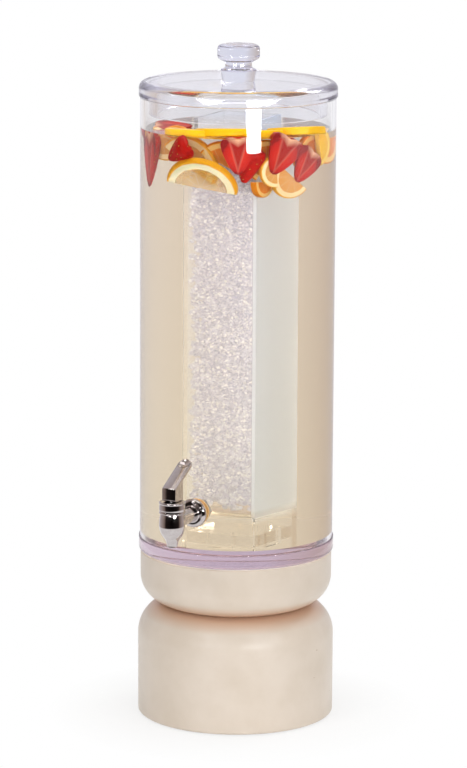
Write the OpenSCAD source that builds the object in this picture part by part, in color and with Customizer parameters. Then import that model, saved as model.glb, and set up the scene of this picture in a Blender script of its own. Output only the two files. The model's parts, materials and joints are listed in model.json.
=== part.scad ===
// Clear drink dispenser: an acrylic tank with a square ice tube, a lid and a lever spigot, on a turned base.
// Millimetres, +Z up. The origin is on the tank's axis at the surface it stands on. The spigot points to -Y.
// Every piece is a node of its own. Pieces meet at named clearances, so a changed size moves its neighbours.

/* [Base drum] */
// distance that the drum's side stands out past the collar's
drum_out = 2.5; // [0:0.5:10]
// height of the drum
drum_h = 119.5; // [100:0.5:160]
// radius of the drum's shoulder
drum_shoulder = 34; // [10:1:45]
// radius of the drum's bottom edge
drum_edge = 2.5; // [0.5:0.5:6]
// distance of the foot ring from the drum's side
foot_inset = 7.5; // [6:0.5:20]
// width of the foot ring
foot_w = 13; // [6:0.5:24]
// thickness of the foot ring
foot_t = 3; // [2.2:0.1:6]
// depth of the groove that the foot ring is glued in
foot_groove = 1.5; // [0.5:0.1:2]

/* [Base collar] */
// distance that the collar's side lies inside the tube's
collar_inset = 0.6; // [0:0.1:4]
// height of the collar
collar_h = 56; // [50:0.5:80]
// radius of the collar's lower edge
collar_round = 30; // [10:1:40]
// radius of the collar's top edge
collar_edge = 1.5; // [0.5:0.1:4]
// depth of the recess that holds the tank in place
recess_depth = 5.5; // [5:0.1:9]

/* [Base fixings] */
// diameter of the central bolt
bolt_d = 8; // [6:1:10]
// length of the central bolt under its head
bolt_len = 62; // [58:1:80]
// diameter of the bolt's head
bolt_head_d = 13; // [11:0.5:16]
// height of the bolt's head
bolt_head_h = 8; // [5:0.5:8.5]
// width across the flats of the bolt's socket
bolt_socket = 6; // [4:0.5:7]
// depth of the bolt's socket
bolt_socket_depth = 4; // [2:0.5:5]
// diameter of the washer under the bolt's head
washer_d = 24; // [18:1:30]
// thickness of that washer
washer_t = 1.6; // [1:0.1:2.5]
// depth of the counterbore that hides the bolt's head
counterbore_depth = 11; // [10.5:0.5:14]
// outer diameter of the threaded insert in the drum
insert_d = 14; // [12.5:0.5:18]
// length of the threaded insert
insert_len = 22; // [16:1:30]
// diameter of a dowel between the two tiers
dowel_d = 8; // [6:1:10]
// length of a dowel
dowel_len = 32; // [20:1:40]
// distance of a dowel from the axis
dowel_out = 48; // [36:1:60]

/* [Tank] */
// outer diameter of the tank's tube
tank_od = 203.2; // [190:0.1:210]
// wall of the tank's tube
tank_wall = 5; // [3:0.5:6]
// length of the tank's tube
tank_len = 465; // [430:1:600]
// distance that the floor plate stands out past the tube
floor_rim = 1.2; // [0:0.1:4]
// thickness of the floor plate under the tube
floor_t = 15; // [10:0.5:25]
// height of the floor's raised centre, inside the tube
floor_rise = 4.5; // [2:0.5:8]
// radius of the floor plate's lower edge
floor_edge = 3; // [0.5:0.5:5]
// distance of the locating disc from the cushion ring
locator_inset = 4; // [2:0.5:12]
// thickness of the locating disc
locator_t = 4.5; // [3:0.1:4.8]
// distance of the cushion ring from the collar's side
seat_inset = 3; // [1.5:0.5:6]
// width of the cushion ring
seat_w = 8; // [4:0.5:12]
// thickness of the cushion ring
seat_t = 1; // [0.5:0.1:2]

/* [Ice tube] */
// outside width of the square ice tube
ice_w = 68; // [50:0.5:80]
// wall of the ice tube
ice_wall = 3; // [2:0.5:5]
// gap between the ice tube's top and the lid
ice_top_gap = 20.5; // [4:0.5:80]
// height of the ice tube's floor above the tank's floor
ice_floor_up = 26; // [16:1:60]
// thickness of the ice tube's floor
ice_floor_t = 3; // [2:0.5:6]
// width of the notch in each wall at the bottom
notch_w = 24; // [12:1:36]
// height of that notch
notch_h = 9; // [6:0.5:12]
// height of the block that locates the ice tube
key_h = 6; // [3:0.5:10]

/* [Lid] */
// distance that the lid stands out past the tube
lid_rim = 1.4; // [0:0.1:6]
// height of the lid's rim
lid_t = 15.5; // [13:0.5:22]
// thickness of the lid over its hollow
lid_plate = 6; // [6:0.5:9]
// radius of the lid's top edge
lid_round = 7; // [2:0.5:9]
// radius of the lid's lower edge
lid_edge = 1.2; // [0.4:0.1:3]
// gap around the ring that drops into the tank
ring_gap = 4.1; // [0.5:0.1:12]
// wall of that ring
ring_wall = 8; // [4:0.5:16]
// height of that ring
ring_h = 18; // [8:0.5:20]

/* [Knob] */
// diameter of the knob's disc
knob_d = 44; // [34:0.5:60]
// height of the knob
knob_h = 38; // [34:0.5:50]
// thickness of the knob's disc
knob_disc_t = 14.5; // [11:0.5:16]
// radius of the disc's top edge
knob_round = 5; // [1:0.5:6]
// diameter of the knob's neck
knob_neck_d = 27.6; // [16:0.1:30]
// diameter of the knob's foot where it meets the lid
knob_foot_d = 33; // [30:0.5:36]
// diameter of the knob's bead
knob_bead_d = 37; // [36.2:0.1:40]
// height of the bead's widest line above the lid
knob_bead_up = 11; // [7:0.5:12]
// diameter of the peg that is bonded in the lid
peg_d = 12; // [8:0.5:16]
// length of that peg
peg_len = 4; // [2:0.5:4.5]

/* [Spigot] */
// height of the spigot's shank above the tank's floor
shank_up = 40; // [36:0.5:60]
// distance of the spigot's barrel from the tank's outside
reach = 53.6; // [48:0.1:80]
// diameter of the shank's threaded end
thread_d = 16; // [13.5:0.5:18]
// length of the threaded end inside the tank's wall
thread_in = 14.5; // [13:0.5:18]
// bore of the shank
shank_bore_d = 7; // [4:0.2:7.4]
// diameter of the shank's neck
neck_d = 16; // [10:0.1:17]
// radius of the curve from the neck into the flange
neck_fillet = 1.2; // [0.5:0.1:2]
// diameter of the flange
flange_d = 30.4; // [26:0.2:36]
// thickness of the flange
flange_t = 5; // [4:0.1:7]
// thickness of the flange's rim, under its rounded face
flange_rim = 0.8; // [0.5:0.1:2]
// diameter of the two washers
gasket_d = 27; // [24:0.2:30]
// thickness of the outer washer on the centre line
gasket_out_t = 3.4; // [3:0.1:5]
// thickness of the inner washer on the centre line
gasket_in_t = 3; // [2.5:0.1:4.5]
// width across the flats of the nut
nut_flats = 24; // [22:0.5:28]
// thickness of the nut
nut_t = 7; // [5:0.5:9]
// diameter of the barrel
barrel_d = 27; // [24.5:0.5:32]
// height of the barrel's top above the shank's axis
barrel_up = 10.5; // [9.5:0.5:14]
// distance of the barrel's straight part below the shank's axis
barrel_down = 2; // [0:0.5:3]
// radius of the round shoulder under the barrel
barrel_shoulder = 20; // [14:0.5:24]
// radius of the hollow curve from the shoulder into the spout
barrel_hollow = 14; // [2:0.5:20]
// length of the spout's straight end
spout_tip = 1; // [1:0.1:16]
// diameter of the spout's end
spout_d = 11; // [9.5:0.1:13]
// bore of the spout
spout_bore_d = 7.2; // [5:0.1:7.6]
// diameter of the valve chamber
chamber_d = 17; // [15.5:0.5:18]
// diameter of the bonnet
bonnet_d = 27.4; // [24:0.2:34]
// height of the bonnet
bonnet_h = 12.4; // [11.5:0.1:18]
// thickness of the bonnet's top
bonnet_top_t = 3; // [2:0.1:3.4]

/* [Valve] */
// diameter of the stem
stem_d = 4.8; // [3.6:0.2:5.2]
// diameter of the stem's shoulder
shoulder_d = 13; // [11.5:0.5:14]
// thickness of the stem's eye
eye_t = 5; // [3:0.1:6]
// diameter of the stem's eye
eye_d = 8; // [7:0.2:9]
// diameter of the rubber valve plug
plug_d = 12; // [10:0.2:13.5]
// height of the plug's straight part
plug_h = 4.5; // [3:0.1:5]
// wire of the return spring
wire_d = 1; // [0.6:0.1:1.2]
// mean diameter of the return spring
coil_d = 9.4; // [8.4:0.1:10.4]
// turns of the return spring
coil_turns = 4; // [3:0.5:5]

/* [Lever] */
// width of the lever
lever_w = 15; // [13:0.5:20]
// depth of the lever's block
block_depth = 19.5; // [15:0.5:22]
// height of the pin above the block's underside
pin_up = 6; // [5.2:0.1:8]
// height of the block's front face
block_front_h = 15; // [12:0.5:20]
// radius of the bow across the block's front and the thumb face
face_bow = 24; // [16:1:60]
// diameter of the lever's pin
pin_d = 3; // [2:0.1:3.6]
// slope of the paddle at rest
paddle_slope = 26.5; // [10:0.5:40]
// length of the paddle from the front crease
paddle_len = 49.5; // [34:0.5:58]
// width of the paddle
paddle_w = 15.6; // [13:0.1:22]
// thickness of the paddle
paddle_t = 4.4; // [3:0.1:6]
// diameter of the thumb dimple
dimple_d = 12.5; // [6:0.5:13]
// depth of the thumb dimple
dimple_depth = 1.2; // [0.5:0.1:1.6]
// distance that the lever's heel turns off centre, per radian of tilt
heel_out = 5; // [3:0.1:6]
// full tilt of the lever
lever_tilt_max = 45; // [20:1:50]

/* [Clearances] */
// radial gap of glued and pressed joints
fit_bond = 0.05; // [0.02:0.01:0.1]
// radial gap of the lever's pin in the stem's eye
fit_run = 0.05; // [0.02:0.01:0.1]
// gap of parts that slide or turn past each other
fit_slide = 0.3; // [0.2:0.05:0.6]
// gap of the tank's locating disc in the collar
fit_locate = 0.75; // [0.4:0.05:1.5]
// gap of the shank in the tank's hole
fit_hole = 0.4; // [0.2:0.05:1]
// radial gap of the bolt in the collar
fit_bolt = 0.5; // [0.3:0.1:1]

/* [Hidden] */
$fn = 96;
eps = 0.01;
// diameters that follow the tube's
collar_d = tank_od - 2 * collar_inset;
drum_d = collar_d + 2 * drum_out;
foot_out_d = drum_d - 2 * foot_inset;
foot_in_d = foot_out_d - 2 * foot_w;
seat_out_d = collar_d - 2 * seat_inset;
seat_in_d = seat_out_d - 2 * seat_w;
locator_d = seat_in_d - 2 * locator_inset;
floor_d = tank_od + 2 * floor_rim;
lid_d = tank_od + 2 * lid_rim;
ring_od = tank_od - 2 * tank_wall - 2 * ring_gap;
// heights from the ground up
drum_z0 = foot_t - foot_groove;
drum_z1 = drum_z0 + drum_h;
collar_z1 = drum_z1 + collar_h;
floor_z0 = collar_z1 + seat_t;
tube_z0 = floor_z0 + floor_t;
inside_z = tube_z0 + floor_rise;
tube_z1 = tube_z0 + tank_len;
lid_z1 = tube_z1 + lid_t;
tank_r = tank_od / 2;
tank_ir = tank_r - tank_wall;
ice_in = ice_w - 2 * ice_wall;
ice_len = tank_len - floor_rise - ice_top_gap;
// spigot lines
shank_z = inside_z + shank_up;
barrel_y = -(tank_r + reach);
flange_y = -(tank_r + gasket_out_t);
barrel_r = barrel_d / 2;
barrel_z1 = shank_z + barrel_up;
bonnet_z1 = barrel_z1 + bonnet_h;
block_z0 = bonnet_z1 + fit_slide;
pin_z = block_z0 + pin_up;
pin_y = barrel_y;
chamber_r = chamber_d / 2;
neck_end_y = barrel_y + chamber_r + 0.1;
seat_under_bore = 0.5;
seat_z = shank_z - shank_bore_d / 2 - seat_under_bore;
// lines of the barrel's outline: centres of the shoulder and of the hollow curve, and the angle where they meet
shoulder_x = barrel_r - barrel_shoulder;
shoulder_z = shank_z - barrel_down;
hollow_x = spout_d / 2 + barrel_hollow;
hollow_z = shoulder_z - sqrt(pow(barrel_shoulder + barrel_hollow, 2) - pow(hollow_x - shoulder_x, 2));
curve_turn = atan2(hollow_z - shoulder_z, hollow_x - shoulder_x);
spout_z0 = hollow_z - spout_tip;
bonnet_cap_z = bonnet_z1 - bonnet_top_t;
// valve lines: the plug rests on its seat, the shoulder stands on the plug
plug_z0 = seat_z + fit_slide / 2;
plug_z1 = plug_z0 + plug_h;
shoulder_z1 = plug_z1 + 3;
spring_z0 = shoulder_z1 + 0.1;
spring_z1 = bonnet_cap_z - 0.1;
heel_r = pin_up;
front_y = barrel_y - block_depth / 2;
crease_z = block_z0 + block_front_h;

// points along an arc, for turned outlines
function arc(cx, cy, r, a0, a1, n) =
  [for (i = [0:n]) let (a = a0 + (a1 - a0) * i / n) [cx + r * cos(a), cy + r * sin(a)]];

// a turned puck with rounded upper and lower edges
module puck(d, z0, z1, r_low, r_top) {
  rotate_extrude()
    difference() {
      translate([0, z0]) square([d / 2, z1 - z0]);
      translate([d / 2 - r_low, z0 + r_low]) difference() {
        translate([0, -r_low - 1]) square([r_low + 1, r_low + 1]);
        circle(r_low);
      }
      translate([d / 2 - r_top, z1 - r_top]) difference() {
        square([r_top + 1, r_top + 1]);
        circle(r_top);
      }
    }
}

// a round bar along the spigot's axis, from y0 (further out) to y1
module along_y(r, y0, y1) {
  translate([0, y1, shank_z]) rotate([90, 0, 0]) cylinder(r = r, h = y1 - y0);
}

module at_dowels() {
  for (s = [-1, 1])
    translate([s * dowel_out, 0, drum_z1 - dowel_len / 2]) children();
}

module base_drum() {
  color([0.87, 0.81, 0.74])
  difference() {
    puck(drum_d, drum_z0, drum_z1, drum_edge, drum_shoulder);
    translate([0, 0, drum_z0 - 1]) difference() {
      cylinder(d = foot_out_d + 2 * fit_bond, h = foot_groove + 1);
      translate([0, 0, -1]) cylinder(d = foot_in_d - 2 * fit_bond, h = foot_groove + 3);
    }
    translate([0, 0, drum_z1 - insert_len - 8])
      cylinder(d = insert_d + 2 * fit_bond, h = insert_len + 9);
    at_dowels() translate([0, 0, -1]) cylinder(d = dowel_d + 2 * fit_bond, h = dowel_len);
  }
}

module base_foot() {
  color([0.25, 0.24, 0.23])
  difference() {
    cylinder(d = foot_out_d, h = foot_t);
    translate([0, 0, -1]) cylinder(d = foot_in_d, h = foot_t + 2);
  }
}

module base_collar() {
  color([0.87, 0.81, 0.74])
  difference() {
    puck(collar_d, drum_z1, collar_z1, collar_round, collar_edge);
    translate([0, 0, collar_z1 - recess_depth])
      cylinder(d = locator_d + 2 * fit_locate, h = recess_depth + 1);
    translate([0, 0, collar_z1 - recess_depth - counterbore_depth])
      cylinder(d = washer_d + 2 * fit_bolt, h = counterbore_depth + 1);
    translate([0, 0, drum_z1 - 1]) cylinder(d = bolt_d + 2 * fit_bolt, h = collar_h);
    at_dowels() cylinder(d = dowel_d + 2 * fit_bond, h = dowel_len + 1);
  }
}

module base_dowels() {
  color([0.75, 0.6, 0.42])
  at_dowels() cylinder(d = dowel_d, h = dowel_len);
}

module bolt_washer() {
  color([0.75, 0.75, 0.76])
  translate([0, 0, collar_z1 - recess_depth - counterbore_depth])
  difference() {
    cylinder(d = washer_d, h = washer_t);
    translate([0, 0, -1]) cylinder(d = bolt_d + 2 * fit_bolt, h = washer_t + 2);
  }
}

module base_bolt() {
  head_z = collar_z1 - recess_depth - counterbore_depth + washer_t;
  color([0.72, 0.72, 0.73])
  difference() {
    union() {
      translate([0, 0, head_z]) cylinder(d = bolt_head_d, h = bolt_head_h);
      translate([0, 0, head_z - bolt_len]) cylinder(d = bolt_d, h = bolt_len + eps);
    }
    translate([0, 0, head_z + bolt_head_h - bolt_socket_depth])
      cylinder(d = bolt_socket / cos(30), h = bolt_socket_depth + 1, $fn = 6);
  }
}

module base_insert() {
  color([0.78, 0.62, 0.3])
  translate([0, 0, drum_z1 - insert_len])
  difference() {
    cylinder(d = insert_d, h = insert_len);
    translate([0, 0, -1]) cylinder(d = bolt_d + 2 * fit_bond, h = insert_len + 2);
  }
}

module seat_ring() {
  color([0.88, 0.86, 0.84, 0.7])
  translate([0, 0, collar_z1])
  difference() {
    cylinder(d = seat_out_d, h = seat_t);
    translate([0, 0, -1]) cylinder(d = seat_in_d, h = seat_t + 2);
  }
}

module tank_locator() {
  color([0.86, 0.84, 0.92, 0.45])
  translate([0, 0, floor_z0 - locator_t]) cylinder(d = locator_d, h = locator_t);
}

module tank_floor() {
  color([0.86, 0.84, 0.92, 0.45])
  union() {
    puck(floor_d, floor_z0, tube_z0, floor_edge, 1);
    translate([0, 0, tube_z0 - eps]) cylinder(r = tank_ir - fit_bond, h = floor_rise + eps);
  }
}

module tank_tube() {
  color([0.9, 0.9, 0.94, 0.35])
  difference() {
    translate([0, 0, tube_z0]) cylinder(r = tank_r, h = tank_len);
    translate([0, 0, tube_z0 - 1]) cylinder(r = tank_ir, h = tank_len + 2);
    along_y(thread_d / 2 + fit_hole, -tank_r - 10, -tank_ir + 20);
  }
}

module ice_key() {
  side = ice_in - 2 * fit_slide;
  color([0.86, 0.84, 0.92, 0.45])
  translate([-side / 2, -side / 2, inside_z]) cube([side, side, key_h]);
}

module ice_tube() {
  color([0.9, 0.9, 0.94, 0.4])
  difference() {
    translate([-ice_w / 2, -ice_w / 2, inside_z]) cube([ice_w, ice_w, ice_len]);
    translate([-ice_in / 2, -ice_in / 2, inside_z - 1]) cube([ice_in, ice_in, ice_len + 2]);
    translate([-notch_w / 2, -ice_w / 2 - 1, inside_z - 1]) cube([notch_w, ice_w + 2, notch_h + 1]);
    translate([-ice_w / 2 - 1, -notch_w / 2, inside_z - 1]) cube([ice_w + 2, notch_w, notch_h + 1]);
  }
}

module ice_tube_floor() {
  side = ice_in - 2 * fit_bond;
  color([0.9, 0.9, 0.94, 0.4])
  translate([-side / 2, -side / 2, inside_z + ice_floor_up]) cube([side, side, ice_floor_t]);
}

module lid_disc() {
  color([0.9, 0.89, 0.95, 0.4])
  difference() {
    puck(lid_d, tube_z1, lid_z1, lid_edge, lid_round);
    translate([0, 0, tube_z1 - 1]) cylinder(d = ring_od - 2 * ring_wall, h = lid_t - lid_plate + 1);
    translate([0, 0, lid_z1 - peg_len - 0.5]) cylinder(d = peg_d + 2 * fit_bond, h = peg_len + 2);
  }
}

module lid_ring() {
  color([0.9, 0.89, 0.95, 0.4])
  difference() {
    puck(ring_od, tube_z1 - ring_h, tube_z1, 1, 0.3);
    translate([0, 0, tube_z1 - ring_h - 1]) cylinder(d = ring_od - 2 * ring_wall, h = ring_h + 2);
  }
}

module lid_knob() {
  disc_z = knob_h - knob_disc_t;
  neck_r = knob_neck_d / 2;
  disc_r = knob_d / 2;
  bead_r = knob_bead_d / 2;
  color([0.92, 0.91, 0.95, 0.45])
  translate([0, 0, lid_z1])
  union() {
    rotate_extrude()
      polygon(concat(
        [[0, 0], [knob_foot_d / 2, 0]],
        arc(bead_r - 1.5, knob_bead_up, 1.5, -10, 70, 6),
        [[neck_r + 0.8, knob_bead_up + 2.6], [neck_r, knob_bead_up + 4.4], [neck_r, disc_z - 4.6]],
        [[neck_r + 1.2, disc_z - 3.2]],
        arc(disc_r - 2, disc_z + 1.5, 2, -60, 0, 6),
        arc(disc_r - knob_round, knob_h - knob_round, knob_round, 0, 90, 10),
        [[0, knob_h]]));
    translate([0, 0, -peg_len]) cylinder(d = peg_d, h = peg_len + eps);
  }
}

module spigot_shank() {
  dome_r = flange_t - flange_rim;
  neck_r = neck_d / 2;
  color([0.8, 0.8, 0.82])
  difference() {
    union() {
      along_y(thread_d / 2, flange_y - eps, -tank_ir + thread_in);
      translate([0, flange_y, shank_z]) rotate([90, 0, 0])
        rotate_extrude()
          polygon(concat(
            [[0, 0]],
            arc(flange_d / 2 - flange_rim, flange_rim, flange_rim, -90, 0, 4),
            arc(flange_d / 2 - dome_r, flange_rim, dome_r, 0, 80, 8),
            arc(neck_r + neck_fillet, flange_t + neck_fillet, neck_fillet, -90, -180, 6),
            [[0, flange_t + neck_fillet]]));
      along_y(neck_r, neck_end_y, flange_y - flange_t);
    }
    along_y(shank_bore_d / 2, barrel_y, -tank_ir + thread_in + 5);
  }
}

module outer_washer() {
  color([0.88, 0.7, 0.46])
  difference() {
    along_y(gasket_d / 2, flange_y, -tank_ir);
    cylinder(r = tank_r + fit_bond, h = tube_z1, $fn = 720);
    along_y(thread_d / 2 + fit_bond, flange_y - 1, 0);
  }
}

module inner_washer() {
  color([0.88, 0.7, 0.46])
  difference() {
    intersection() {
      along_y(gasket_d / 2, -tank_r, -tank_ir + gasket_in_t);
      cylinder(r = tank_ir - fit_bond, h = tube_z1, $fn = 720);
    }
    along_y(thread_d / 2 + fit_bond, -tank_r - 1, 0);
  }
}

module shank_nut() {
  color([0.85, 0.85, 0.87])
  difference() {
    translate([0, -tank_ir + gasket_in_t + nut_t, shank_z]) rotate([90, 0, 0])
      cylinder(d = nut_flats / cos(30), h = nut_t, $fn = 6);
    along_y(thread_d / 2 + fit_bond, -tank_r, 0);
  }
}

// half outline of the barrel and spout: straight wall, round shoulder, hollow curve, straight end
module barrel_outline() {
  tip_bevel = 0.5;
  polygon(concat(
    [[0, spout_z0], [spout_d / 2 - tip_bevel, spout_z0]],
    [[spout_d / 2, spout_z0 + tip_bevel]],
    arc(hollow_x, hollow_z, barrel_hollow, 180, curve_turn + 180, 8),
    arc(shoulder_x, shoulder_z, barrel_shoulder, curve_turn, 0, 8),
    [[barrel_r, barrel_z1], [0, barrel_z1]]));
}

module spigot_body() {
  color([0.82, 0.82, 0.84])
  difference() {
    translate([0, barrel_y, 0]) rotate_extrude() barrel_outline();
    translate([0, barrel_y, seat_z]) cylinder(r = chamber_r, h = barrel_z1);
    translate([0, barrel_y, spout_z0 - 1]) cylinder(d = spout_bore_d, h = shank_z - spout_z0);
    along_y(neck_d / 2 + fit_bond, neck_end_y - fit_bond, barrel_y + barrel_d);
    along_y(shank_bore_d / 2, barrel_y, neck_end_y);
  }
}

module spigot_bonnet() {
  r = bonnet_d / 2;
  color([0.84, 0.84, 0.86])
  translate([0, barrel_y, 0])
  difference() {
    rotate_extrude()
      polygon(concat(
        [[0, barrel_z1]],
        arc(r - 0.8, barrel_z1 + 0.8, 0.8, -90, 60, 6),
        [[r - 0.5, barrel_z1 + 2.2], [r - 0.5, bonnet_z1 - 2.4]],
        arc(r - 1.3, bonnet_z1 - 1.3, 1.3, -30, 90, 8),
        [[0, bonnet_z1]]));
    translate([0, 0, barrel_z1 - 1]) cylinder(r = chamber_r, h = bonnet_cap_z - barrel_z1 + 1);
    translate([0, 0, barrel_z1]) cylinder(d = stem_d + 2 * fit_slide, h = bonnet_h + 1);
  }
}

module valve_stem() {
  color([0.7, 0.71, 0.72])
  difference() {
    union() {
      translate([0, barrel_y, plug_z0 + 1.5]) cylinder(d = stem_d, h = pin_z - plug_z0 - 1.5);
      translate([0, barrel_y, plug_z1]) cylinder(d = shoulder_d, h = shoulder_z1 - plug_z1);
      translate([-eye_t / 2, pin_y, pin_z]) rotate([0, 90, 0]) cylinder(d = eye_d, h = eye_t);
    }
    translate([-lever_w, pin_y, pin_z]) rotate([0, 90, 0]) cylinder(d = pin_d + 2 * fit_run, h = 2 * lever_w);
  }
}

module valve_plug() {
  color([0.86, 0.84, 0.8])
  translate([0, barrel_y, plug_z0])
  difference() {
    union() {
      cylinder(d = plug_d, h = plug_h);
      translate([0, 0, -2]) cylinder(d1 = spout_bore_d - 3, d2 = spout_bore_d - 2 * fit_slide, h = 2 + eps);
    }
    translate([0, 0, 1.5 - fit_bond]) cylinder(d = stem_d + 2 * fit_bond, h = plug_h);
  }
}

// the return spring: a round wire wound between the stem's shoulder and the bonnet's top
module return_spring() {
  side = 8;
  rings = 14;
  count = round(coil_turns * rings);
  rise = spring_z1 - spring_z0 - wire_d;
  pts = [for (i = [0:count], j = [0:side - 1])
    let (a = 360 * i / rings, b = 360 * j / side, rr = coil_d / 2 + wire_d / 2 * cos(b))
    [rr * cos(a), rr * sin(a), rise * i / count + wire_d / 2 * sin(b)]];
  walls = [for (i = [0:count - 1], j = [0:side - 1])
    let (k = (j + 1) % side)
    [i * side + j, i * side + k, (i + 1) * side + k, (i + 1) * side + j]];
  cap0 = [for (j = [0:side - 1]) side - 1 - j];
  cap1 = [for (j = [0:side - 1]) count * side + j];
  echo(spring_gap = rise / coil_turns - wire_d);
  color([0.65, 0.66, 0.68])
  translate([0, barrel_y, spring_z0 + wire_d / 2])
    mirror([0, 1, 0]) polyhedron(concat(pts), concat([cap0], walls, [cap1]));
}

// side outline of the lever's block: flat underside, round heel at the front, straight back
module block_outline() {
  heel_front = block_depth / 2 - heel_out;
  a_end = -90 - asin(min(1, heel_front / heel_r));
  polygon(concat(
    [[block_depth / 2, -pin_up]],
    arc(-heel_out, 0, heel_r, -90, a_end, 8),
    [[-block_depth / 2, paddle_len], [block_depth / 2, paddle_len]]));
}

// room in the lever for the stem's eye and for the stem as the lever tilts
module slot_outline() {
  s = stem_d / 2 + fit_slide;
  far = 3 * pin_up;
  t = lever_tilt_max + 2;
  union() {
    circle(d = eye_d + 2 * fit_slide);
    polygon([
      [s, 0], [s, -far],
      [-s * cos(t) - far * sin(t), -far],
      [-s * cos(t) - far * sin(t), s * sin(t) - far * cos(t)],
      [-s * cos(t), s * sin(t)]]);
  }
}

// turns an outline drawn in (y, z) about the pin into a slab of width w across the lever
module across(w) {
  translate([-w / 2, pin_y, pin_z]) rotate([90, 0, 90]) linear_extrude(w) children();
}

// moves to the paddle's own frame: x across, y up the slope from the front crease, z out of the thumb face
module on_paddle() {
  translate([0, front_y, crease_z]) rotate([paddle_slope, 0, 0]) children();
}

// everything under the thumb face, which is bowed across
module bowed_bar() {
  on_paddle() translate([0, -paddle_len, -face_bow])
    union() {
      rotate([-90, 0, 0]) cylinder(r = face_bow, h = 3 * paddle_len);
      translate([-lever_w, 0, -2 * paddle_len]) cube([2 * lever_w, 3 * paddle_len, 2 * paddle_len]);
    }
}

module lever() {
  dimple_r = (dimple_d * dimple_d / 4 + dimple_depth * dimple_depth) / (2 * dimple_depth);
  end_r = paddle_w / 2;
  color([0.84, 0.84, 0.86])
  difference() {
    union() {
      intersection() {
        across(lever_w) block_outline();
        translate([0, front_y + face_bow, block_z0 - 1])
          union() {
            cylinder(r = face_bow, h = 3 * paddle_len);
            translate([-lever_w, 0, 0]) cube([2 * lever_w, block_depth, 3 * paddle_len]);
          }
        bowed_bar();
      }
      intersection() {
        on_paddle() translate([0, 0, -paddle_t]) linear_extrude(paddle_t)
          union() {
            translate([-lever_w / 2, 4]) square([lever_w, 8]);
            translate([-paddle_w / 2, 10]) square([paddle_w, paddle_len - end_r - 10]);
            translate([0, paddle_len - end_r]) circle(r = end_r);
          }
        bowed_bar();
      }
    }
    across(eye_t + 2 * fit_slide) slot_outline();
    translate([-lever_w, pin_y, pin_z]) rotate([0, 90, 0]) cylinder(d = pin_d + 2 * fit_bond, h = 2 * lever_w);
    on_paddle() translate([0, paddle_len - end_r, dimple_r - dimple_depth]) sphere(r = dimple_r);
  }
}

module lever_pin() {
  len = lever_w - 1;
  color([0.7, 0.71, 0.72])
  translate([-len / 2, pin_y, pin_z]) rotate([0, 90, 0]) cylinder(d = pin_d, h = len);
}

base_drum();
base_foot();
base_collar();
base_dowels();
bolt_washer();
base_bolt();
base_insert();
seat_ring();
tank_locator();
tank_floor();
tank_tube();
ice_key();
ice_tube();
ice_tube_floor();
lid_disc();
lid_ring();
lid_knob();
spigot_shank();
outer_washer();
inner_washer();
shank_nut();
spigot_body();
spigot_bonnet();
valve_stem();
valve_plug();
return_spring();
lever();
lever_pin();
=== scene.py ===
# %% [markdown]
# A clear drink dispenser, finished piece by piece. The CAD model gives the sizes, the places and the moving
# bodies. This script loads it as a frame, models the pieces that need a finer surface, gives every piece
# the look of its real material and sets up the picture. The frame has to come first, because every other
# cell measures from it.

# %% Load the frame
import json
import math
import random
from functools import partial

import bpy
from mathutils import Euler, Matrix, Vector

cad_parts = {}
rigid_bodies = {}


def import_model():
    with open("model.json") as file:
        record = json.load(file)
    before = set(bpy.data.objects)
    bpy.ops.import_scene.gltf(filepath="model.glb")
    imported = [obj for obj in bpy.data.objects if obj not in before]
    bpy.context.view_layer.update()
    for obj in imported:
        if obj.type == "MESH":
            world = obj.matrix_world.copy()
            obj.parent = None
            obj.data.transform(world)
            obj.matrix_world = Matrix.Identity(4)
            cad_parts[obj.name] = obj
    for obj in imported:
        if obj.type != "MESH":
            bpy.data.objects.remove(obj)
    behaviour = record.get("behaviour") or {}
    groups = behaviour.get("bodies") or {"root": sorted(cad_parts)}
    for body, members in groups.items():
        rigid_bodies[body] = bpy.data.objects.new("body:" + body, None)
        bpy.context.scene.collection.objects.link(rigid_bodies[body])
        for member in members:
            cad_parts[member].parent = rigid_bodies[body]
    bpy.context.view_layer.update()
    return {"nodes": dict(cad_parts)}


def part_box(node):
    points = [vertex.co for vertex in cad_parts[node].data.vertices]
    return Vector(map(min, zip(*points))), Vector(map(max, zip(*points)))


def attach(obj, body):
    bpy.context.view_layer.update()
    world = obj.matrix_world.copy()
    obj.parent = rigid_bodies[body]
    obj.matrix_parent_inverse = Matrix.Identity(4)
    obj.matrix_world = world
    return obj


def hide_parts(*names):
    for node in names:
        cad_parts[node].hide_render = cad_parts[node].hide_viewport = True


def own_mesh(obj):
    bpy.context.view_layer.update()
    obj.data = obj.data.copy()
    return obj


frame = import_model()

nodes = frame["nodes"]
scene = bpy.context.scene
print("nodes in the frame:", len(nodes))

# %% [markdown]
# The whole lesson measures in metres, but makers think in millimetres, so one small function changes units.
# Radii and heights are read off the frame: a box gives the lowest and the highest corner of a piece. A wall
# can't be read off a box, so the two walls are written as real sizes, and so is the height of the drink.

# %% Shared sizes
def mm(value):
    return value / 1000.0


def radius(node):
    low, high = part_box(node)
    return (high.x - low.x) / 2


def full_radius(node):
    """The larger half width of a round node, because its facets can miss one axis."""
    return max(radius(node), -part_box(node)[0].y)


def bottom(node):
    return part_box(node)[0].z


def top(node):
    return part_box(node)[1].z


TANK_WALL = mm(5)
ICE_WALL = mm(3)
TANK_R = -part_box("tank_tube")[0].y
TANK_INNER_R = TANK_R - TANK_WALL
FLOOR_TOP = top("tank_floor")
DRINK_TOP = mm(625.7)
SHANK_Z = (bottom("spigot_shank") + top("spigot_shank")) / 2
BARREL_Y = (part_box("spigot_body")[0].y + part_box("spigot_body")[1].y) / 2
BOND_GAP = mm(0.1)
print("tank radius in mm:", round(TANK_R * 1000, 1), "shank height in mm:", round(SHANK_Z * 1000, 1))

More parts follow.
